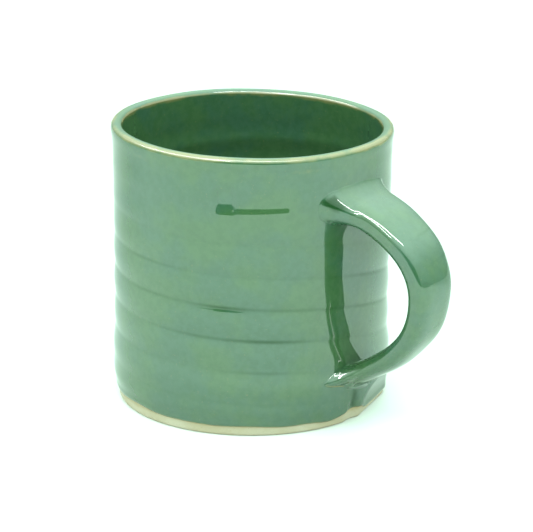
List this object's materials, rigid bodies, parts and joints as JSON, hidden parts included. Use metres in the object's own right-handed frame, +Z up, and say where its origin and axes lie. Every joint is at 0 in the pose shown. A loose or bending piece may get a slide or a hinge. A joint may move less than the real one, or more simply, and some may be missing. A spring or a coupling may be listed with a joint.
{
  "type": "ceramic mug",
  "caption": "Hand-thrown straight-sided ceramic mug with a pulled strap handle, green glaze, throwing rings and a bare clay foot.",
  "frame": {"origin": "centre of the flat base, on the surface the mug stands on", "axes": "+Z up along the mug's axis, +X from the axis towards the handle, +Y completes a right-handed frame"},
  "size_m": [0.1176, 0.0882, 0.0885],
  "materials": {
    "bare_clay": "matt bare stoneware, cream",
    "joining_slip": "matt fired slip",
    "wall_glaze": "glossy mottled sage green, ochre where thin",
    "liner_glaze": "glossy deep green",
    "handle_glaze": "glossy mottled sage green, ochre on the edges"
  },
  "bodies": {
    "root": {"thrown_body": "bare_clay", "pulled_handle": "bare_clay", "upper_slip_joint": "joining_slip", "lower_slip_joint": "joining_slip", "outer_glaze": "wall_glaze", "liner_glaze": "liner_glaze", "handle_glaze": "handle_glaze"}
  },
  "joints": []
}
